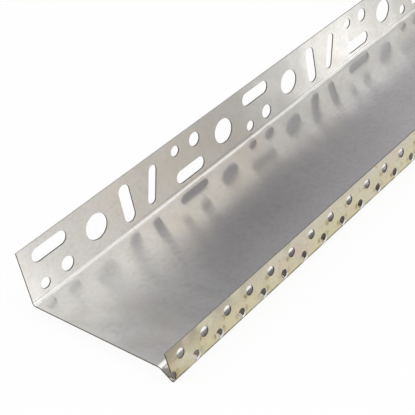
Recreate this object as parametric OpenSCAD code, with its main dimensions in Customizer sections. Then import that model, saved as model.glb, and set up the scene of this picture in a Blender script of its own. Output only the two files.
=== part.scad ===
// Aluminium plinth profile: the base rail that carries facade insulation boards above the ground.
// One strip of sheet, punched while flat and then folded: wall flange, board seat, drip slope, front lip.
// Millimetres. X runs along the profile, the wall is at +Y, Z is up, and the drip edge touches Z = 0.

/* [Stock] */
// Length of the bar as sold
bar_length = 2000; // [400:200:3000]
// Thickness of the sheet
sheet = 1; // [0.8:0.1:1.2]

/* [Section] */
// Height of the wall flange over the underside of the seat
flange_height = 40.5; // [38:0.5:60]
// Level part of the seat, from the wall face to the drip slope
seat_width = 106.5; // [60:0.5:180]
// Fall of the drip slope, in degrees
slope_angle = 40; // [30:1:55]
// How far the drip edge hangs below the seat
drip_drop = 6.5; // [5:0.5:9]
// Height of the front lip over the drip edge
lip_height = 20.5; // [19:0.5:26]
// Lean of the front lip towards the wall, in degrees
lip_lean = 5; // [0:1:10]
// Inner radius of the bend between flange and seat
flange_bend = 1; // [0.8:0.1:3]
// Inner radius of the bend between seat and slope
seat_bend = 1; // [0.5:0.1:2]
// Inner radius of the fold at the drip edge
drip_bend = 0.6; // [0.3:0.1:1]

/* [Flange pattern] */
// Length after which the punching repeats
period = 200; // [190:5:300]
// Distance of the pattern's middle line from the flange's edge
pattern_middle = 20; // [18:0.5:22]
// Place along one period of the second group of holes, which is the first one upside down
second_group = 125; // [124:0.5:128]
// Diameter of the small holes
small_d = 7.5; // [5:0.5:8]
// Place of the small hole along its group
small_at = 13; // [5:0.25:14]
// Distance of the small holes from the middle line
small_off = 11; // [10:0.5:12]
// Diameter of the medium holes
medium_d = 10; // [8:0.5:11]
// Place of the medium hole along its group
medium_at = 32.25; // [28:0.25:40]
// Distance of the medium holes from the middle line
medium_off = 9.5; // [8:0.5:11]
// Diameter of the large holes
large_d = 18; // [12:0.5:20]
// Place of the large hole along its group, on the middle line
large_at = 60.75; // [55:0.25:62]
// Length of the fixing slots, end to end
slot_length = 28; // [18:0.5:30]
// Width of the fixing slots
slot_width = 9.5; // [6:0.5:10]
// Place of the fixing slot along its group
slot_at = 23.25; // [20:0.25:30]
// Distance of the fixing slots from the middle line
slot_off = 10; // [9:0.5:11]
// Length of the upright slots, end to end
upright_length = 28; // [20:0.5:30]
// Width of the upright slots
upright_width = 9.5; // [5:0.5:10]
// Place of the upright slot along one period
upright_at = 88.5; // [80:0.5:95]
// Length of the slanted slots, end to end
slant_length = 27; // [20:0.5:28]
// Width of the slanted slots
slant_width = 7; // [5:0.5:8]
// Place of the slanted slot along one period
slant_at = 112.5; // [105:0.5:118]
// Slant of that slot from the upright, in degrees
slant_angle = 18; // [0:1:25]

/* [Lip perforation] */
// Diameter of the holes in the lip
lip_hole_d = 6; // [4:0.5:7]
// Distance of the holes from each other along one row
lip_pitch = 20; // [15:1:25]
// Distance of the lower row from the drip edge, along the lip
lip_low_row = 4.5; // [4:0.5:6]
// Distance of the upper row from the drip edge, along the lip
lip_high_row = 13.5; // [12:0.5:15]

/* [Hidden] */

// Sides of a round hole
$fn = 24;
// Steps in which the outline goes round a bend
bend_steps = 8;
// How far a cutter runs past the sheet
over = 2;

seat_under = drip_drop;
flange_top = seat_under + flange_height;
middle_z = flange_top - pattern_middle;

// The section is drawn with u outwards from the wall face and v up from the drip edge.
// The slope touches the seat's bend and the drip edge's, so its length follows from their heights.
flange_centre = [sheet + flange_bend, seat_under + sheet + flange_bend];
seat_centre = [seat_width, seat_under - seat_bend];
drip_centre_v = drip_bend + sheet;
bend_gap = seat_bend + sheet + drip_bend;
slope_length = (seat_centre[1] - drip_centre_v + bend_gap * cos(slope_angle)) / sin(slope_angle);
drip_centre_u = seat_width + bend_gap * sin(slope_angle) + slope_length * cos(slope_angle);
drip_centre = [drip_centre_u, drip_centre_v];
depth = drip_centre_u + drip_bend + sheet;
lip_length = (lip_height - drip_centre_v - (drip_bend + sheet) * sin(lip_lean)) / cos(lip_lean);

periods = ceil(bar_length / period);
lip_steps = ceil(bar_length / lip_pitch);
flange_through = sheet + 2 * over;
lip_through = drip_bend + sheet + over;

aluminium = [0.80, 0.80, 0.78];

function direction(angle) = [cos(angle), sin(angle)];

function arc(centre, radius, from, to) = [
    for (i = [0:bend_steps]) centre + radius * direction(from + (to - from) * i / bend_steps)
];

// One face of the sheet, from the flange's edge to the lip's, at a depth into the sheet from the wall face
function face(into) = concat(
    [[into, flange_top]],
    arc(flange_centre, flange_bend + sheet - into, 180, 270),
    arc(seat_centre, seat_bend + into, 90, 90 - slope_angle),
    arc(drip_centre, drip_bend + sheet - into, 270 - slope_angle, 360 + lip_lean),
    [drip_centre + (drip_bend + sheet - into) * direction(lip_lean) + lip_length * direction(lip_lean + 90)]
);

function reversed(points) = [for (i = [len(points) - 1:-1:0]) points[i]];

module section() {
    polygon(concat(face(0), reversed(face(sheet))));
}

module hole_cutter(diameter, through) {
    rotate([90, 0, 0]) cylinder(d = diameter, h = through, center = true);
}

// A slot cutter with round ends, level, that cuts along Y
module slot_cutter(length, width, through) {
    half = (length - width) / 2;
    for (side = [-1, 1]) translate([side * half, 0, 0]) hole_cutter(width, through);
    cube([2 * half, through, width], center = true);
}

// Cutters of one group of holes: two round ones low, the slot above them, and the large one beside them
module group_cutters() {
    translate([small_at, 0, -small_off]) hole_cutter(small_d, flange_through);
    translate([medium_at, 0, -medium_off]) hole_cutter(medium_d, flange_through);
    translate([slot_at, 0, slot_off]) slot_cutter(slot_length, slot_width, flange_through);
    translate([large_at, 0, 0]) hole_cutter(large_d, flange_through);
}

module upright_cutter() {
    rotate([0, 90, 0]) slot_cutter(upright_length, upright_width, flange_through);
}

module slanted_cutter() {
    rotate([0, 90 - slant_angle, 0]) slot_cutter(slant_length, slant_width, flange_through);
}

// Cutters of one period of the flange pattern, round its middle line
module period_cutters() {
    group_cutters();
    translate([second_group, 0, 0]) mirror([0, 0, 1]) group_cutters();
    translate([upright_at, 0, 0]) upright_cutter();
    translate([slant_at, 0, 0]) slanted_cutter();
}

// One row of cutters square to the lip, through it and the outer half of the fold
module lip_row(first, count, row) {
    for (i = [0:count - 1]) {
        translate([first + i * lip_pitch, -lip_through / 2, row - drip_centre[1]])
            hole_cutter(lip_hole_d, lip_through);
    }
}

// The lower row starts with a half hole at the end of the bar, and the upper row half a pitch in.
module lip_cutters() {
    translate([0, -drip_centre[0], drip_centre[1]]) rotate([-lip_lean, 0, 0]) {
        lip_row(0, lip_steps + 1, lip_low_row);
        lip_row(lip_pitch / 2, lip_steps, lip_high_row);
    }
}

module plinth_profile() {
    color(aluminium)
    translate([-bar_length / 2, depth / 2, 0])
    difference() {
        translate([bar_length, 0, 0]) rotate([90, 0, -90]) linear_extrude(bar_length) section();
        for (i = [0:periods - 1]) translate([i * period, -sheet / 2, middle_z]) period_cutters();
        lip_cutters();
    }
}

plinth_profile();
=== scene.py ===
"""Looks of the aluminium plinth profile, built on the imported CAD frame.

The bar is one strip of sheet. Its flat pattern is meshed with all its holes, folded through the section,
and given the sheet's thickness, cut walls and a slight roll-over at every cut edge.
X runs along the bar, the wall is at +Y, and the drip edge touches the floor at Z = 0. The frame is in
metres, and the section and the flat pattern are worked out in millimetres.
"""

import math

import bpy
from mathutils import Matrix, Vector
from mathutils.geometry import delaunay_2d_cdt

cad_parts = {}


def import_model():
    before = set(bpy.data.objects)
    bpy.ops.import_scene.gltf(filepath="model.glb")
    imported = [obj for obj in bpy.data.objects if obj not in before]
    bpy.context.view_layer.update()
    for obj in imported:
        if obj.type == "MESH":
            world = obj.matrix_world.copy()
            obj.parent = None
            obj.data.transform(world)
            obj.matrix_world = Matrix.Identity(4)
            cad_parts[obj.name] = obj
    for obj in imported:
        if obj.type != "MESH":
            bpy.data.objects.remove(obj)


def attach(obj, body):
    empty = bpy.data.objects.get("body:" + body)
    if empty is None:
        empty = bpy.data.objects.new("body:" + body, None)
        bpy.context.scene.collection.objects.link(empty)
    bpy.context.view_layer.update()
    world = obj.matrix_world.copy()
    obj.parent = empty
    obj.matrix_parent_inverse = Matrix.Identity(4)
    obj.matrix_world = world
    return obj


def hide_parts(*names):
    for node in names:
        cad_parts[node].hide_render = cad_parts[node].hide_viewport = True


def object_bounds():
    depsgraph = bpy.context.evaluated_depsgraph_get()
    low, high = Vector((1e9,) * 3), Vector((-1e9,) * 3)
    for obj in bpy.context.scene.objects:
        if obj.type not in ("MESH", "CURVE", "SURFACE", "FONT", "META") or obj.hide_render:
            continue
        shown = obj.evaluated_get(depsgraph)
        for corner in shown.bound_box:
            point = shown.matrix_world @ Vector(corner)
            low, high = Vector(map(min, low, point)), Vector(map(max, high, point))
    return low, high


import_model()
cad_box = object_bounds()

MM = 0.001
BODY = "root"
NODE = "plinth_profile"

# The bar's overall sizes come from the frame.
bar_length = cad_box[1].x - cad_box[0].x
bar_depth = cad_box[1].y - cad_box[0].y
bar_height = cad_box[1].z - cad_box[0].z

# The section, in millimetres and degrees
SHEET = 1.0
DRIP_DROP = 6.5
SEAT_WIDTH = 106.5
SLOPE_ANGLE = 40.0
LIP_HEIGHT = 20.5
LIP_LEAN = 5.0
FLANGE_BEND = 1.0
SEAT_BEND = 1.0
DRIP_BEND = 0.6
DRIP_OUTER = DRIP_BEND + SHEET
BEND_STEPS = 8

# The side of a bend that the sheet's inner face is on
HOLLOW = -1
OUTER = 1

# For the light only: how far beside two of the bends the sheet already turns, in millimetres, and the
# seat's tilt towards the front, in degrees, by the place across it in millimetres
FLANGE_SOFT = 2.8
SEAT_SOFT = 1.5
SOFT_STEPS = (-1.0, -0.5, 0.0, 0.5, 1.0)
SEAT_TILT = [(0.0, 1.5), (6.0, 3.2), (20.0, 3.2), (34.0, 1.6), (47.0, 0.0), (60.0, -0.5), (80.0, 0.0),
             (104.5, 1.2)]

# The flange's punching, in millimetres and degrees, with the places along one period
PERIOD = 200.0
PATTERN_MIDDLE = 20.0
SECOND_GROUP = 125.0
SMALL_HOLE = {"d": 7.5, "at": 13.0, "off": 11.0}
MEDIUM_HOLE = {"d": 10.0, "at": 32.25, "off": 9.5}
LARGE_HOLE = {"d": 18.0, "at": 60.75, "off": 0.0}
FIXING_SLOT = {"length": 28.0, "d": 9.5, "at": 23.25, "off": -10.0}
UPRIGHT_SLOT = {"length": 28.0, "d": 9.5, "at": 88.5}
SLANTED_SLOT = {"length": 27.0, "d": 7.0, "at": 112.5, "slant": 18.0}

# The lip's perforation, in millimetres, with the rows' distances from the drip edge
LIP_HOLE_D = 6.0
LIP_PITCH = 20.0
LIP_LOW_ROW = 4.5
LIP_HIGH_ROW = 13.5

# The mesh: sides of the round cuts, and in millimetres the roll-over at every cut edge, how far below its
# start the lip's own metal begins, and the distances that count as none
HOLE_SIDES = 48
LIP_HOLE_SIDES = 32
ROLL_OVER = 0.12
LIP_METAL_BELOW = 1.0
SAME_POINT = 1e-5
SAME_LENGTH = 1e-9
PATTERN_MAP = "pattern"

# The kind of triangulation that fills the whole hull of the points
HULL_TRIANGLES = 0

# At a rim's corner the mitre is at most one roll-over divided by MITRE_LIMIT. The walls share a direction
# there if each has to turn by less than SHARP_CORNER's angle. An edge of the outline belongs to a long
# side if its part along the bar is at least ALONG_BAR.
MITRE_LIMIT = 0.5
SHARP_CORNER = math.cos(math.radians(25))
ALONG_BAR = 0.9

# The metal's finish: its lines are fine, and it is a little wavy. The seat has one duller place, given in
# metres along the bar from its near end and across the seat from the flange.
ROUGHNESS = 0.15
ANISOTROPY = 0.85
WAVINESS = 0.5 * MM
WAVE_SCALE = 22.0
WAVE_DETAIL = 2.0
WAVE_STRETCH = (1.0, 0.6, 0.6)
LINE_DEPTH = 0.002 * MM
LINE_DETAIL = 3.0
LINE_STRETCH = (1500.0, 25.0, 1.0)
DULL_ROUGHNESS = 0.27
DULL_PLACE = (0.062, 0.027)
DULL_REACH = 0.07

# Tints of the sheet and the lip. A patch has the scale of its noise, the noise's levels at which it starts
# and is full, and its colour. Each patch's noise lies PATCH_STEP metres beside the last one's.
PATCH_DETAIL = 3.0
PATCH_STEP = (7.3, 3.1, 0.0)
SHEET_COLOUR = (0.83, 0.82, 0.8)
SHEET_PATCHES = [(18.0, 0.5, 0.75, (0.80, 0.765, 0.71)), (25.0, 0.55, 0.8, (0.83, 0.79, 0.78)),
                 (350.0, 0.4, 0.75, (0.77, 0.76, 0.745))]
# The lip's warm colours are a painted reflection of a warm floor. They are darker towards the bar's near
# end and paler towards the lip's edge.
LIP_COLOUR = (0.62, 0.56, 0.375)
LIP_NEAR_COLOUR = (0.46, 0.37, 0.22)
LIP_TOP_COLOUR = (0.58, 0.54, 0.45)
LIP_END_COLOUR = (0.33, 0.29, 0.22)
LIP_PATCHES = [(70.0, 0.45, 0.7, (0.62, 0.58, 0.44)), (45.0, 0.55, 0.75, (0.6, 0.5, 0.42)),
               (60.0, 0.58, 0.75, (0.49, 0.48, 0.34)), (260.0, 0.58, 0.8, (0.4, 0.34, 0.22)),
               (650.0, 0.55, 0.8, (0.45, 0.42, 0.32))]
# GROOVE_SHADE is painted shade in the groove behind the lip.
GROOVE_SHADE = (0.45, 0.395, 0.32)
# The fold's colour is near-black painted shade on the underside of the drip fold.
FOLD_SHADE = (0.05, 0.045, 0.025)

# Where one tint goes over into another, in millimetres: across the sheet from the drip slope's start and
# from the lip's, and along the bar from its near end
GROOVE_FROM = (1.0, 3.4)
GROOVE_UNTIL = (0.0, 8.0)
FOLD_UNTIL = (0.7, -0.4)
LIP_TOP_FROM = 4.0
LIP_NEAR_UNTIL = (-10.0, 35.0)
LIP_END_UNTIL = (-20.0, 120.0)

# The lip's brown marks beside its holes, in millimetres: the place along one pitch and the distance from
# the drip edge of each, and the distances from its middle at which it ends and is full
HOLE_MARK_COLOUR = (0.3, 0.23, 0.12)
HOLE_MARKS = [(5.6, 12.0), (15.8, 5.2), (3.6, 5.6)]
HOLE_MARK_REACH = (3.0, 0.4)
SPECKLE_SCALE = 420.0
SPECKLE_DETAIL = 2.0
SPECKLE_RANGE = (0.3, 0.65)

# Finishes of the mesh's faces, in the order of its materials
SHEET_FACE, PUNCHED, LIP_FACE, END_CUT, LONG_EDGE, LOW_RIM, LIP_EDGE = range(7)

# The rough cut metal in copies lit and shaded by painted light: near black with painted shade in the flange
# and the lip's upper row and at the bar's ends, pale along the flange's edge, near white with a painted
# highlight in the lip's lower row, and darker with painted shade along the lip's edge
CUT_ROUGHNESS = 0.45
CUT_METALS = {
    PUNCHED: ("punched_wall_painted_shade", (0.13, 0.115, 0.09)),
    END_CUT: ("end_cut_painted_shade", (0.1, 0.085, 0.05)),
    LONG_EDGE: ("long_edge", (0.6, 0.58, 0.53)),
    LOW_RIM: ("low_rim_painted_highlight", (0.95, 0.94, 0.9)),
    LIP_EDGE: ("lip_edge_painted_shade", (0.37, 0.35, 0.31)),
}

# The floor, in metres, a hair below the bar
FLOOR_HALF = 40.0
FLOOR_LEVEL = -0.0002
FLOOR_COLOUR = (0.97, 0.97, 0.97)
FLOOR_ROUGHNESS = 0.9
FLOOR_SPECULAR = 0.1
FLOOR_GLOW = 0.88

# The surround, by direction. FRONT lies in front of the bar, away from the wall, OVER above that, and
# BACK behind the bar. SIDE lies between front and back. Overhead the level is even. The stops of a band
# are the direction's part along the bar, a level and a tint.
SURROUND_STRENGTH = 2.0
PLAIN = (1.0, 1.0, 1.0)
WARM = (1.0, 0.96, 0.9)
COOL = (1.0, 0.985, 1.03)
FRONT_BANDS = [(0.25, 0.95, PLAIN), (0.31, 0.75, PLAIN), (0.36, 1.55, PLAIN), (0.41, 1.55, PLAIN),
               (0.428, 1.02, PLAIN), (0.46, 0.88, PLAIN), (0.50, 0.84, WARM), (0.55, 0.7, WARM),
               (0.585, 0.62, WARM), (0.62, 0.55, PLAIN), (0.65, 0.78, PLAIN), (0.68, 1.24, PLAIN),
               (0.71, 1.85, PLAIN), (0.74, 1.02, PLAIN), (0.80, 0.6, PLAIN)]
OVER_BANDS = [(0.38, 0.9, PLAIN), (0.44, 0.8, PLAIN), (0.50, 1.03, WARM), (0.55, 0.88, WARM),
              (0.60, 0.8, WARM), (0.65, 0.69, PLAIN), (0.70, 0.66, PLAIN), (0.75, 0.7, PLAIN)]
BACK_BANDS = [(0.32, 0.9, PLAIN), (0.40, 0.76, PLAIN), (0.47, 0.35, PLAIN), (0.55, 0.19, COOL),
              (0.61, 0.14, COOL), (0.65, 0.16, COOL), (0.70, 0.1, COOL), (0.75, 0.16, COOL)]
SIDE_BANDS = [(0.32, 0.9, PLAIN), (0.40, 0.85, PLAIN), (0.50, 0.37, COOL), (0.58, 0.39, COOL),
              (0.66, 0.4, COOL), (0.74, 0.47, COOL)]
TOP_LEVEL = 1.18

# Where the surround goes over from one of these to the next: by the rise seen along the bar, in degrees,
# then by the direction's part towards the wall, and last by its part upwards
FRONT_TO_OVER = (37.0, 45.0)
OVER_TO_TOP = (55.0, 72.0)
FRONT_TO_SIDE = (-0.2, 0.35)
SIDE_TO_BACK = (0.46, 0.66)
AROUND_TO_TOP = (0.72, 0.88)

# The camera: its directions in the frame, its place in metres, and its lens and sensor in millimetres
CAMERA_RIGHT = Vector((0.64501, -0.74306, -0.17841))
CAMERA_DOWN = Vector((-0.52098, -0.25679, -0.81402))
CAMERA_AHEAD = Vector((0.55905, 0.618, -0.55275))
CAMERA_PLACE = Vector((-1.25864, -0.40063, 0.39053))
LENS = 91.55
SENSOR = 36.0
CLIP = (0.01, 50.0)


def direction(degrees):
    """Unit direction in the section, with u outwards from the wall and v up."""
    return Vector((math.cos(math.radians(degrees)), math.sin(math.radians(degrees))))


class Section:
    """The folded section: where a developed length lies, and which way the sheet's inner face looks."""

    def __init__(self):
        self.starts = []
        self.pieces = []
        self.lines = []
        self.soft = []
        self.length = 0.0
        self.add_flange()
        self.add_seat()
        self.add_slope_and_lip()

    def add_flange(self):
        """The flange from its edge down, and its bend into the seat."""
        top = bar_height / MM
        bottom = DRIP_DROP + SHEET + FLANGE_BEND
        centre = Vector((SHEET + FLANGE_BEND, bottom))
        self.straight(Vector((0.0, top)), 270.0, 0.0, top - bottom)
        self.bend(centre, 180.0, 270.0, FLANGE_BEND + SHEET, HOLLOW, FLANGE_SOFT)

    def add_seat(self):
        """The seat, and its bend down into the drip slope."""
        self.seat_start = self.length
        start = Vector((SHEET + FLANGE_BEND, DRIP_DROP))
        self.straight(start, 0.0, 90.0, SEAT_WIDTH - SHEET - FLANGE_BEND)
        self.lines += [self.seat_start + place for place, _ in SEAT_TILT[1:]]
        centre = Vector((SEAT_WIDTH, DRIP_DROP - SEAT_BEND))
        self.bend(centre, 90.0, 90.0 - SLOPE_ANGLE, SEAT_BEND, OUTER, SEAT_SOFT)

    def add_slope_and_lip(self):
        """The drip slope, whose length follows from the heights, the fold at the drip edge and the lip."""
        slope = math.radians(SLOPE_ANGLE)
        lean = math.radians(LIP_LEAN)
        gap = SEAT_BEND + SHEET + DRIP_BEND
        rise = DRIP_DROP - SEAT_BEND - DRIP_OUTER
        slope_length = (rise + gap * math.cos(slope)) / math.sin(slope)
        drip_u = SEAT_WIDTH + gap * math.sin(slope) + slope_length * math.cos(slope)
        drip = Vector((drip_u, DRIP_OUTER))
        lip_length = (LIP_HEIGHT - DRIP_OUTER - DRIP_OUTER * math.sin(lean)) / math.cos(lean)
        look = 90.0 - SLOPE_ANGLE
        start = Vector((SEAT_WIDTH, DRIP_DROP - SEAT_BEND)) + SEAT_BEND * direction(look)
        self.slope_start = self.length
        self.straight(start, -SLOPE_ANGLE, look, slope_length)
        self.bend(drip, 270.0 - SLOPE_ANGLE, 360.0 + LIP_LEAN, DRIP_OUTER, HOLLOW)
        self.lip_start = self.length
        start = drip + DRIP_OUTER * direction(LIP_LEAN)
        self.straight(start, 90.0 + LIP_LEAN, 180.0 + LIP_LEAN, lip_length)

    def straight(self, start, run, look, length):
        """A straight piece that runs one way while its inner face looks another, both in degrees."""
        self.starts.append(self.length)
        self.pieces.append(("straight", start, run, look))
        self.length += length
        self.lines.append(self.length)

    def bend(self, centre, first, last, radius, side, reach=0.0):
        """A bend between two directions from its centre, in degrees, with the radius of the wall side.

        reach is how far before and after the bend the sheet already turns for the light.
        """
        middle = radius + side * SHEET / 2
        swept = math.radians(abs(last - first)) * middle
        self.starts.append(self.length)
        self.pieces.append(("bend", centre, first, last, radius, side, swept))
        for step in range(1, BEND_STEPS + 1):
            self.lines.append(self.length + swept * step / BEND_STEPS)
        if reach > 0.0:
            self.soft.append((self.length, self.length + swept, reach))
            for part in (reach / 2, reach):
                self.lines += [self.length - part, self.length + swept + part]
        self.length += swept

    def at(self, length):
        """Point of the wall side, and the direction in which the sheet's other side lies."""
        index = 0
        while index + 1 < len(self.starts) and length >= self.starts[index + 1] - SAME_LENGTH:
            index += 1
        kind, *values = self.pieces[index]
        along = length - self.starts[index]
        if kind == "straight":
            start, run, look = values
            return start + along * direction(run), direction(look)
        centre, first, last, radius, side, swept = values
        share = BEND_STEPS * along / swept
        step = min(int(share), BEND_STEPS - 1)
        turn = (last - first) / BEND_STEPS
        near = direction(first + turn * step)
        outward = near.lerp(direction(first + turn * (step + 1)), share - step)
        return centre + radius * outward, side * outward

    def inward(self, length):
        """The inner face's direction for the light, which starts to turn a little before some bends."""
        direct = self.at(length)[1].normalized()
        for start, end, reach in self.soft:
            if start - reach < length < end + reach:
                places = [length + reach * step for step in SOFT_STEPS]
                direct = sum((self.at(place)[1].normalized() for place in places), Vector((0.0, 0.0)))
        turn = math.radians(self.tilt(length))
        leaning = Vector((direct.y, -direct.x))
        return (direct * math.cos(turn) + leaning * math.sin(turn)).normalized()

    def tilt(self, length):
        """The seat's tilt towards the front for the light, in degrees."""
        place = length - self.seat_start
        for (start, low), (end, high) in zip(SEAT_TILT, SEAT_TILT[1:]):
            if start <= place < end:
                return low + (high - low) * (place - start) / (end - start)
        return 0.0


section = Section()


def placed(x, length, into):
    """Place in the frame of a point of the flat pattern, at a depth into the sheet from the wall side."""
    point, inward = section.at(length)
    point = point + into * inward
    return Vector((x * MM - bar_length / 2, bar_depth / 2 - point.x * MM, point.y * MM))


def facing(length):
    """The inner face's direction in the frame, for the light."""
    inward = section.inward(length)
    return Vector((0.0, -inward.x, inward.y))


def lip_place(row):
    """Developed length of a place on the lip, given by its distance from the drip edge."""
    return section.lip_start + row - DRIP_OUTER


def round_cut(x, y, radius, sides):
    """Outline of a round cut in the flat pattern."""
    turns = [2 * math.pi * (step + 0.5) / sides for step in range(sides)]
    return [Vector((x + radius * math.cos(turn), y + radius * math.sin(turn))) for turn in turns]


def slot_cut(x, y, slot, slant, grow):
    """Outline of a slot with round ends. slant turns it from the bar's direction, in degrees."""
    half = (slot["length"] - slot["d"]) / 2
    run = Vector((math.cos(math.radians(slant)), math.sin(math.radians(slant)))) * half
    reach = slot["d"] / 2 + grow
    points = []
    for end, first in ((run, slant - 90), (-run, slant + 90)):
        for step in range(HOLE_SIDES // 2 + 1):
            turn = math.radians(first + 180 * step / (HOLE_SIDES // 2))
            points.append(Vector((x + end.x + reach * math.cos(turn), y + end.y + reach * math.sin(turn))))
    return points


def group_cuts(start, flip, grow):
    """One group of the flange's holes. flip is 1 for the first group and -1 for the one upside down."""
    cuts = []
    for hole in (SMALL_HOLE, MEDIUM_HOLE, LARGE_HOLE):
        y = PATTERN_MIDDLE + flip * hole["off"]
        cuts.append(round_cut(start + hole["at"], y, hole["d"] / 2 + grow, HOLE_SIDES))
    y = PATTERN_MIDDLE + flip * FIXING_SLOT["off"]
    cuts.append(slot_cut(start + FIXING_SLOT["at"], y, FIXING_SLOT, 0.0, grow))
    return cuts


def flange_cuts(grow):
    """All the cuts of the flange."""
    slant = 90.0 + SLANTED_SLOT["slant"]
    cuts = []
    for number in range(round(bar_length / MM / PERIOD)):
        start = number * PERIOD
        cuts += group_cuts(start, 1, grow)
        cuts += group_cuts(start + SECOND_GROUP, -1, grow)
        cuts.append(slot_cut(start + UPRIGHT_SLOT["at"], PATTERN_MIDDLE, UPRIGHT_SLOT, 90.0, grow))
        cuts.append(slot_cut(start + SLANTED_SLOT["at"], PATTERN_MIDDLE, SLANTED_SLOT, slant, grow))
    return cuts


def lip_cuts(grow):
    """The lip's round holes that lie wholly in the sheet."""
    low = lip_place(LIP_LOW_ROW)
    high = lip_place(LIP_HIGH_ROW)
    radius = LIP_HOLE_D / 2 + grow
    cuts = []
    for number in range(round(bar_length / MM / LIP_PITCH)):
        x = (number + 0.5) * LIP_PITCH
        cuts.append(round_cut(x, high, radius, LIP_HOLE_SIDES))
        if number > 0:
            cuts.append(round_cut(x - LIP_PITCH / 2, low, radius, LIP_HOLE_SIDES))
    return cuts


def outer_line(shrink):
    """Outline of the flat pattern, with half a hole of the lip's lower row in each end."""
    length = bar_length / MM
    reach = LIP_HOLE_D / 2 + shrink
    middle = lip_place(LIP_LOW_ROW)
    half_sides = LIP_HOLE_SIDES // 2
    swing = math.acos(shrink / reach)
    turns = [swing - 2 * swing * step / half_sides for step in range(half_sides + 1)]
    points = [Vector((shrink, shrink)), Vector((length - shrink, shrink))]
    for turn in turns:
        points.append(Vector((length - reach * math.cos(turn), middle - reach * math.sin(turn))))
    points.append(Vector((length - shrink, section.length - shrink)))
    points.append(Vector((shrink, section.length - shrink)))
    for turn in turns:
        points.append(Vector((reach * math.cos(turn), middle + reach * math.sin(turn))))
    return points


def flat_mesh():
    """Points and triangles of the flat pattern between its cuts, with edges along the lines of its bends.

    A triangle lies in the sheet if the outline is the only rim that it is within.
    """
    rims = [outer_line(ROLL_OVER)] + flange_cuts(ROLL_OVER) + lip_cuts(ROLL_OVER)
    points = []
    edges = []
    faces = []
    for rim in rims:
        first = len(points)
        points += rim
        faces.append(list(range(first, len(points))))
    length = bar_length / MM
    for line in section.lines[:-1]:
        first = len(points)
        points += [Vector((ROLL_OVER, line)), Vector((length - ROLL_OVER, line))]
        edges.append((first, first + 1))
    spots, _, triangles, _, _, owners = delaunay_2d_cdt(points, edges, faces, HULL_TRIANGLES, SAME_POINT)
    outline_only = [0]
    kept = [tuple(corners) for corners, within in zip(triangles, owners) if within == outline_only]
    return spots, kept


def rim_loops(triangles):
    """Loops of the points round every open rim, in the direction in which the sheet lies on their left.

    The sides are kept in order, so that each run gives the same mesh.
    """
    sides = {}
    for a, b, c in triangles:
        for start, end in ((a, b), (b, c), (c, a)):
            sides[(start, end)] = True
    nexts = {start: end for start, end in sides if (end, start) not in sides}
    loops = []
    while nexts:
        start = next(iter(nexts))
        loop = [start]
        step = nexts.pop(start)
        while step != start:
            loop.append(step)
            step = nexts.pop(step)
        loops.append(loop)
    return loops


class SheetMesh:
    """Points, faces, face corners' directions and pattern coordinates, and the finish of each face."""

    def __init__(self):
        self.points = []
        self.faces = []
        self.normals = []
        self.pattern = []
        self.finish = []

    def point(self, flat, into):
        """Adds a point of the flat pattern at a depth into the sheet, and gives its number."""
        self.points.append(placed(flat.x, flat.y, into))
        return len(self.points) - 1

    def face(self, corners, normals, pattern, finish):
        """Adds a face with its corners' numbers, directions and places in the flat pattern."""
        self.faces.append(corners)
        self.normals += normals
        self.pattern += [(spot.y * MM, spot.x * MM) for spot in pattern]
        self.finish.append(finish)


def wall_direction(edge, length):
    """The way a cut wall looks beside an edge of the flat pattern, in the frame."""
    inward = section.at(length)[1].normalized()
    along = Vector((0.0, -inward.y, -inward.x))
    out = Vector((edge.y, -edge.x)).normalized()
    return (Vector((1.0, 0.0, 0.0)) * out.x + along * out.y).normalized()


def folded_sheet():
    """The whole bar: both faces of the sheet, and at each rim a roll-over, the cut wall and a roll-over."""
    spots, triangles = flat_mesh()
    build = SheetMesh()
    top = [build.point(spot, SHEET) for spot in spots]
    under = [build.point(spot, 0.0) for spot in spots]
    turned = [facing(spot.y) for spot in spots]
    for triangle in triangles:
        flat = [spots[i] for i in triangle]
        on_lip = min(spot.y for spot in flat) > section.lip_start - LIP_METAL_BELOW
        outside = LIP_FACE if on_lip else SHEET_FACE
        build.face([under[i] for i in triangle], [-turned[i] for i in triangle], flat, outside)
        back = tuple(reversed(triangle))
        build.face([top[i] for i in back], [turned[i] for i in back], flat[::-1], SHEET_FACE)
    for loop in rim_loops(triangles):
        rim_walls(build, spots, top, under, loop)
    return build


def cut_finish(flat, edge):
    """The finish of a cut wall beside an edge of the flat pattern, on a rim through the points flat."""
    width = max(spot.x for spot in flat) - min(spot.x for spot in flat)
    if width * MM > bar_length / 2:
        if abs(edge.x) < ALONG_BAR:
            return END_CUT
        return LONG_EDGE if edge.x > 0.0 else LIP_EDGE
    middle = sum(spot.y for spot in flat) / len(flat)
    in_low_row = section.lip_start < middle < lip_place((LIP_LOW_ROW + LIP_HIGH_ROW) / 2)
    return LOW_RIM if in_low_row else PUNCHED


def mitre(before, after):
    """The way from a corner of the face's line to the wall's corner, between two edges of a rim."""
    sides = [Vector((edge.y, -edge.x)) for edge in (before, after)]
    middle = (sides[0] + sides[1]).normalized()
    return middle * (ROLL_OVER / max(MITRE_LIMIT, middle.dot(sides[1])))


def corner_look(own, neighbour, length):
    """A wall's direction at its corner: shared with the next wall, or its own where the corner is sharp."""
    shared = (own + wall_direction(neighbour, length)).normalized()
    return shared if shared.dot(own) > SHARP_CORNER else own


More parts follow.
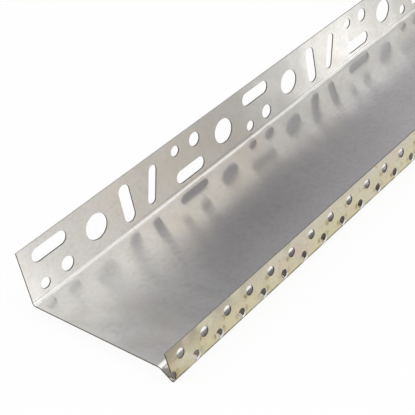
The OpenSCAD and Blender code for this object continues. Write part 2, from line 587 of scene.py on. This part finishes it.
def rim_walls(build, spots, top, under, loop):
    """The cut wall round one rim. The face's line lies a roll-over away from the wall."""
    count = len(loop)
    flat = [spots[i] for i in loop]
    edges = [(flat[(i + 1) % count] - flat[i]).normalized() for i in range(count)]
    moved = [flat[i] + mitre(edges[i - 1], edges[i]) for i in range(count)]
    upper = []
    lower = []
    for spot in moved:
        upper.append(build.point(spot, SHEET - ROLL_OVER))
        lower.append(build.point(spot, ROLL_OVER))
    for i in range(count):
        j = (i + 1) % count
        a, b = loop[i], loop[j]
        finish = cut_finish(flat, edges[i])
        own = wall_direction(edges[i], flat[i].y)
        first = corner_look(own, edges[i - 1], flat[i].y)
        last = corner_look(own, edges[j], flat[j].y)
        start = facing(flat[i].y)
        end = facing(flat[j].y)
        build.face([upper[i], upper[j], lower[j], lower[i]], [first, last, last, first],
                   [moved[i], moved[j], flat[j], flat[i]], finish)
        build.face([top[a], top[b], upper[j], upper[i]], [start, end, last, first],
                   [flat[i], flat[j], moved[j], moved[i]], finish)
        build.face([under[b], under[a], lower[i], lower[j]], [-end, -start, first, last],
                   [flat[j], flat[i], moved[i], moved[j]], finish)


def as_object(build, name, materials):
    """A Blender object of the built mesh, with its own directions at the face corners."""
    mesh = bpy.data.meshes.new(name)
    mesh.from_pydata([tuple(point) for point in build.points], [], build.faces)
    for material in materials:
        mesh.materials.append(material)
    layer = mesh.uv_layers.new(name=PATTERN_MAP)
    for corner, spot in enumerate(build.pattern):
        layer.data[corner].uv = spot
    for polygon, finish in zip(mesh.polygons, build.finish):
        polygon.use_smooth = True
        polygon.material_index = finish
    mesh.normals_split_custom_set([tuple(normal) for normal in build.normals])
    item = bpy.data.objects.new(name, mesh)
    bpy.context.scene.collection.objects.link(item)
    return item


def add_node(tree, kind, inputs=None, **settings):
    """A shader node with its settings, and its inputs given by name or number as values or links."""
    node = tree.nodes.new(kind)
    for name, value in settings.items():
        setattr(node, name, value)
    for name, value in (inputs or {}).items():
        if isinstance(value, bpy.types.NodeSocket):
            tree.links.new(value, node.inputs[name])
        else:
            node.inputs[name].default_value = value
    return node


def worked_out(tree, operation, *inputs, **settings):
    """The result of a calculation with values or links."""
    node = add_node(tree, "ShaderNodeMath", dict(enumerate(inputs)), operation=operation, **settings)
    return node.outputs[0]


def parts(tree, vector):
    """The three parts of a vector, by name."""
    return add_node(tree, "ShaderNodeSeparateXYZ", {0: vector}).outputs


def bands(tree, factor, stops):
    """A curve of colours through the stops, each a place from 0 to 1, a level and a tint."""
    node = add_node(tree, "ShaderNodeValToRGB", {"Fac": factor})
    node.color_ramp.interpolation = "EASE"
    elements = node.color_ramp.elements
    while len(elements) < len(stops):
        elements.new(0.5)
    for element, (place, level, tint) in zip(elements, stops):
        element.position = place
        element.color = (*[level * part / SURROUND_STRENGTH for part in tint], 1.0)
    return node.outputs["Color"]


def noise(tree, place, scale, detail, stretch=(1.0, 1.0, 1.0)):
    """Soft noise from 0 to 1, with features about 1 / scale metres wide."""
    mapped = add_node(tree, "ShaderNodeMapping", {"Vector": place, "Scale": stretch})
    inputs = {"Vector": mapped.outputs[0], "Scale": scale, "Detail": detail}
    return add_node(tree, "ShaderNodeTexNoise", inputs).outputs[0]


def between(tree, share, low, high):
    """A share brought from the range low to high into 0 to 1, with soft ends."""
    settings = {0: share, 1: low, 2: high}
    return add_node(tree, "ShaderNodeMapRange", settings, interpolation_type="SMOOTHSTEP").outputs[0]


def passing(tree, share, start, span):
    """A share that goes from 0 to 1 over a span in millimetres, counted from start, with soft ends."""
    return between(tree, share, (start + span[0]) * MM, (start + span[1]) * MM)


def blend(tree, share, first, second):
    """Colour between two others by a share from 0 to 1. The node takes them as its inputs 6 and 7."""
    colours = {0: share}
    for number, colour in ((6, first), (7, second)):
        colours[number] = colour if isinstance(colour, bpy.types.NodeSocket) else (*colour, 1.0)
    return add_node(tree, "ShaderNodeMix", colours, data_type="RGBA").outputs[2]


def patched(tree, place, tint, patches):
    """The tint with soft patches of others."""
    for number, (scale, low, high, other) in enumerate(patches):
        step = tuple(number * part for part in PATCH_STEP)
        moved = add_node(tree, "ShaderNodeVectorMath", {0: place, 1: step})
        share = between(tree, noise(tree, moved.outputs[0], scale, PATCH_DETAIL), low, high)
        tint = blend(tree, share, tint, other)
    return tint


def surface_lines(tree, place, pattern):
    """The surface's direction with its slight waves and its fine lines along the bar."""
    waves = noise(tree, place, WAVE_SCALE, WAVE_DETAIL, WAVE_STRETCH)
    lines = noise(tree, pattern, 1.0, LINE_DETAIL, LINE_STRETCH)
    swell = add_node(tree, "ShaderNodeBump", {"Height": waves, "Distance": WAVINESS, "Strength": 1.0})
    fine = {"Height": lines, "Distance": LINE_DEPTH, "Strength": 1.0, "Normal": swell.outputs[0]}
    return add_node(tree, "ShaderNodeBump", fine).outputs[0]


def dulling(tree, pattern):
    """The roughness: even, with one duller place on the seat near the bar's end.

    Inputs 3 and 4 are the ends of the range that comes out.
    """
    spot = {0: pattern, 1: (section.seat_start * MM + DULL_PLACE[1], DULL_PLACE[0], 0.0)}
    away = add_node(tree, "ShaderNodeVectorMath", spot, operation="DISTANCE").outputs["Value"]
    share = between(tree, away, DULL_REACH, 0.0)
    range_of = {0: share, 3: ROUGHNESS, 4: DULL_ROUGHNESS}
    return add_node(tree, "ShaderNodeMapRange", range_of).outputs[0]


def rolled_metal(name, tint_of, patches):
    """Bare rolled aluminium. Its fine lines run along the bar, so its glints spread across them.

    tint_of gives the plain tint, from the place in the frame and the place in the flat pattern.
    """
    material = bpy.data.materials.new(name)
    material.use_nodes = True
    tree = material.node_tree
    shader = tree.nodes["Principled BSDF"]
    place = add_node(tree, "ShaderNodeTexCoord").outputs["Object"]
    pattern = add_node(tree, "ShaderNodeUVMap", uv_map=PATTERN_MAP).outputs[0]
    across = add_node(tree, "ShaderNodeTangent", direction_type="UV_MAP", uv_map=PATTERN_MAP)
    tint = patched(tree, place, tint_of(tree, place, pattern), patches)
    shader.inputs["Metallic"].default_value = 1.0
    shader.inputs["Anisotropic"].default_value = ANISOTROPY
    tree.links.new(tint, shader.inputs["Base Color"])
    tree.links.new(surface_lines(tree, place, pattern), shader.inputs["Normal"])
    tree.links.new(dulling(tree, pattern), shader.inputs["Roughness"])
    tree.links.new(across.outputs["Tangent"], shader.inputs["Tangent"])
    return material


def sheet_tint(tree, place, pattern):
    """One tint for the flange and the seat, and painted shade in the groove behind the lip."""
    across = parts(tree, pattern)["X"]
    into = passing(tree, across, section.slope_start, GROOVE_FROM)
    out = passing(tree, across, section.lip_start, GROOVE_UNTIL)
    groove = worked_out(tree, "SUBTRACT", into, out, use_clamp=True)
    return blend(tree, groove, SHEET_COLOUR, GROOVE_SHADE)


def lip_tint(tree, place, pattern):
    """The lip's warm tint, a painted reflection of a warm floor, paler towards its edge and darker at the
    bar's near end, with near-black painted shade under the fold.
    """
    across = parts(tree, pattern)["X"]
    along = parts(tree, place)["X"]
    near_end = -bar_length / 2 / MM
    height = between(tree, across, (section.lip_start + LIP_TOP_FROM) * MM, section.length * MM)
    top = blend(tree, passing(tree, along, near_end, LIP_END_UNTIL), LIP_END_COLOUR, LIP_TOP_COLOUR)
    low = blend(tree, passing(tree, along, near_end, LIP_NEAR_UNTIL), LIP_NEAR_COLOUR, LIP_COLOUR)
    tint = blend(tree, height, low, top)
    # Painted shade under the drip fold
    fold = passing(tree, across, section.lip_start, FOLD_UNTIL)
    return blend(tree, fold, hole_marks(tree, pattern, tint), FOLD_SHADE)


def hole_marks(tree, pattern, tint):
    """The tint with brown marks beside the lip's holes, each with its own strength."""
    axes = parts(tree, pattern)
    speckle = between(tree, noise(tree, pattern, SPECKLE_SCALE, SPECKLE_DETAIL), *SPECKLE_RANGE)
    half = LIP_PITCH / 2 * MM
    for x, row in HOLE_MARKS:
        along = worked_out(tree, "ADD", axes["Y"], -x * MM)
        along = worked_out(tree, "WRAP", along, half, -half)
        across = worked_out(tree, "ADD", axes["X"], -lip_place(row) * MM)
        spot = add_node(tree, "ShaderNodeCombineXYZ", {0: across, 1: along})
        away = add_node(tree, "ShaderNodeVectorMath", {0: spot.outputs[0]}, operation="LENGTH")
        share = passing(tree, away.outputs["Value"], 0.0, HOLE_MARK_REACH)
        tint = blend(tree, worked_out(tree, "MULTIPLY", share, speckle), tint, HOLE_MARK_COLOUR)
    return tint


def cut_metal(name, colour):
    """The rough metal of the sheared and punched walls, whose colour holds painted shade or a painted
    highlight.
    """
    material = bpy.data.materials.new(name)
    material.use_nodes = True
    shader = material.node_tree.nodes["Principled BSDF"]
    shader.inputs["Base Color"].default_value = (*colour, 1.0)
    shader.inputs["Metallic"].default_value = 1.0
    shader.inputs["Roughness"].default_value = CUT_ROUGHNESS
    return material


def sheet_materials():
    """The mesh's materials, in the order of its finishes."""
    finishes = {
        SHEET_FACE: rolled_metal("rolled_aluminium", sheet_tint, SHEET_PATCHES),
        LIP_FACE: rolled_metal("lip_aluminium_painted_reflection", lip_tint, LIP_PATCHES),
    }
    for finish, (name, colour) in CUT_METALS.items():
        finishes[finish] = cut_metal(name, colour)
    return [finishes[finish] for finish in sorted(finishes)]


def pale_floor(name):
    """A matt white floor that mostly shines by itself to the camera and in the metal.

    Its other part is lit, so it still takes the bar's shadow.
    """
    material = bpy.data.materials.new(name)
    material.use_nodes = True
    tree = material.node_tree
    shader = tree.nodes["Principled BSDF"]
    shader.inputs["Base Color"].default_value = (*FLOOR_COLOUR, 1.0)
    shader.inputs["Roughness"].default_value = FLOOR_ROUGHNESS
    shader.inputs["Specular IOR Level"].default_value = FLOOR_SPECULAR
    rays = add_node(tree, "ShaderNodeLightPath").outputs
    seen = worked_out(tree, "MAXIMUM", rays["Is Camera Ray"], rays["Is Glossy Ray"])
    seen = worked_out(tree, "MAXIMUM", seen, rays["Is Transmission Ray"])
    share = worked_out(tree, "MULTIPLY", seen, FLOOR_GLOW)
    white = add_node(tree, "ShaderNodeEmission", {"Strength": 1.0}).outputs[0]
    mixed = add_node(tree, "ShaderNodeMixShader", {0: share, 1: shader.outputs[0], 2: white})
    tree.links.new(mixed.outputs[0], tree.nodes["Material Output"].inputs["Surface"])
    return material


def floor():
    """A wide pale floor under the bar."""
    mesh = bpy.data.meshes.new("floor")
    corners = [(-1, -1), (1, -1), (1, 1), (-1, 1)]
    points = [(x * FLOOR_HALF, y * FLOOR_HALF, FLOOR_LEVEL) for x, y in corners]
    mesh.from_pydata(points, [], [(0, 1, 2, 3)])
    mesh.materials.append(pale_floor("floor_white"))
    item = bpy.data.objects.new("floor", mesh)
    bpy.context.scene.collection.objects.link(item)


def world():
    """A soft surround in wide bands along the bar: pale in front, dim behind, and bright overhead."""
    surround = bpy.data.worlds.new("surround")
    surround.use_nodes = True
    tree = surround.node_tree
    axes = parts(tree, add_node(tree, "ShaderNodeTexCoord").outputs["Generated"])
    front = bands(tree, axes["X"], FRONT_BANDS)
    over = bands(tree, axes["X"], OVER_BANDS)
    back = bands(tree, axes["X"], BACK_BANDS)
    side = bands(tree, axes["X"], SIDE_BANDS)
    top = [TOP_LEVEL / SURROUND_STRENGTH] * 3
    ahead = worked_out(tree, "MULTIPLY", axes["Y"], -1.0)
    rise = worked_out(tree, "ARCTAN2", axes["Z"], ahead)
    front = blend(tree, between(tree, rise, *map(math.radians, FRONT_TO_OVER)), front, over)
    front = blend(tree, between(tree, rise, *map(math.radians, OVER_TO_TOP)), front, top)
    behind = blend(tree, between(tree, axes["Y"], *SIDE_TO_BACK), side, back)
    around = blend(tree, between(tree, axes["Y"], *FRONT_TO_SIDE), front, behind)
    whole = blend(tree, between(tree, axes["Z"], *AROUND_TO_TOP), around, top)
    background = tree.nodes["Background"]
    tree.links.new(whole, background.inputs["Color"])
    background.inputs["Strength"].default_value = SURROUND_STRENGTH
    bpy.context.scene.world = surround


def camera():
    """The photograph's viewing angle, found by matching the punched holes."""
    data = bpy.data.cameras.new("camera")
    data.sensor_width = SENSOR
    data.lens = LENS
    data.clip_start, data.clip_end = CLIP
    item = bpy.data.objects.new("camera", data)
    bpy.context.scene.collection.objects.link(item)
    turn = Matrix((CAMERA_RIGHT, -CAMERA_DOWN, -CAMERA_AHEAD)).transposed().to_4x4()
    item.matrix_world = Matrix.Translation(CAMERA_PLACE) @ turn
    bpy.context.scene.camera = item


bar = as_object(folded_sheet(), "plinth_profile_sheet", sheet_materials())
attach(bar, BODY)
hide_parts(NODE)

floor()
world()
camera()

bpy.context.scene.view_settings.view_transform = "Standard"
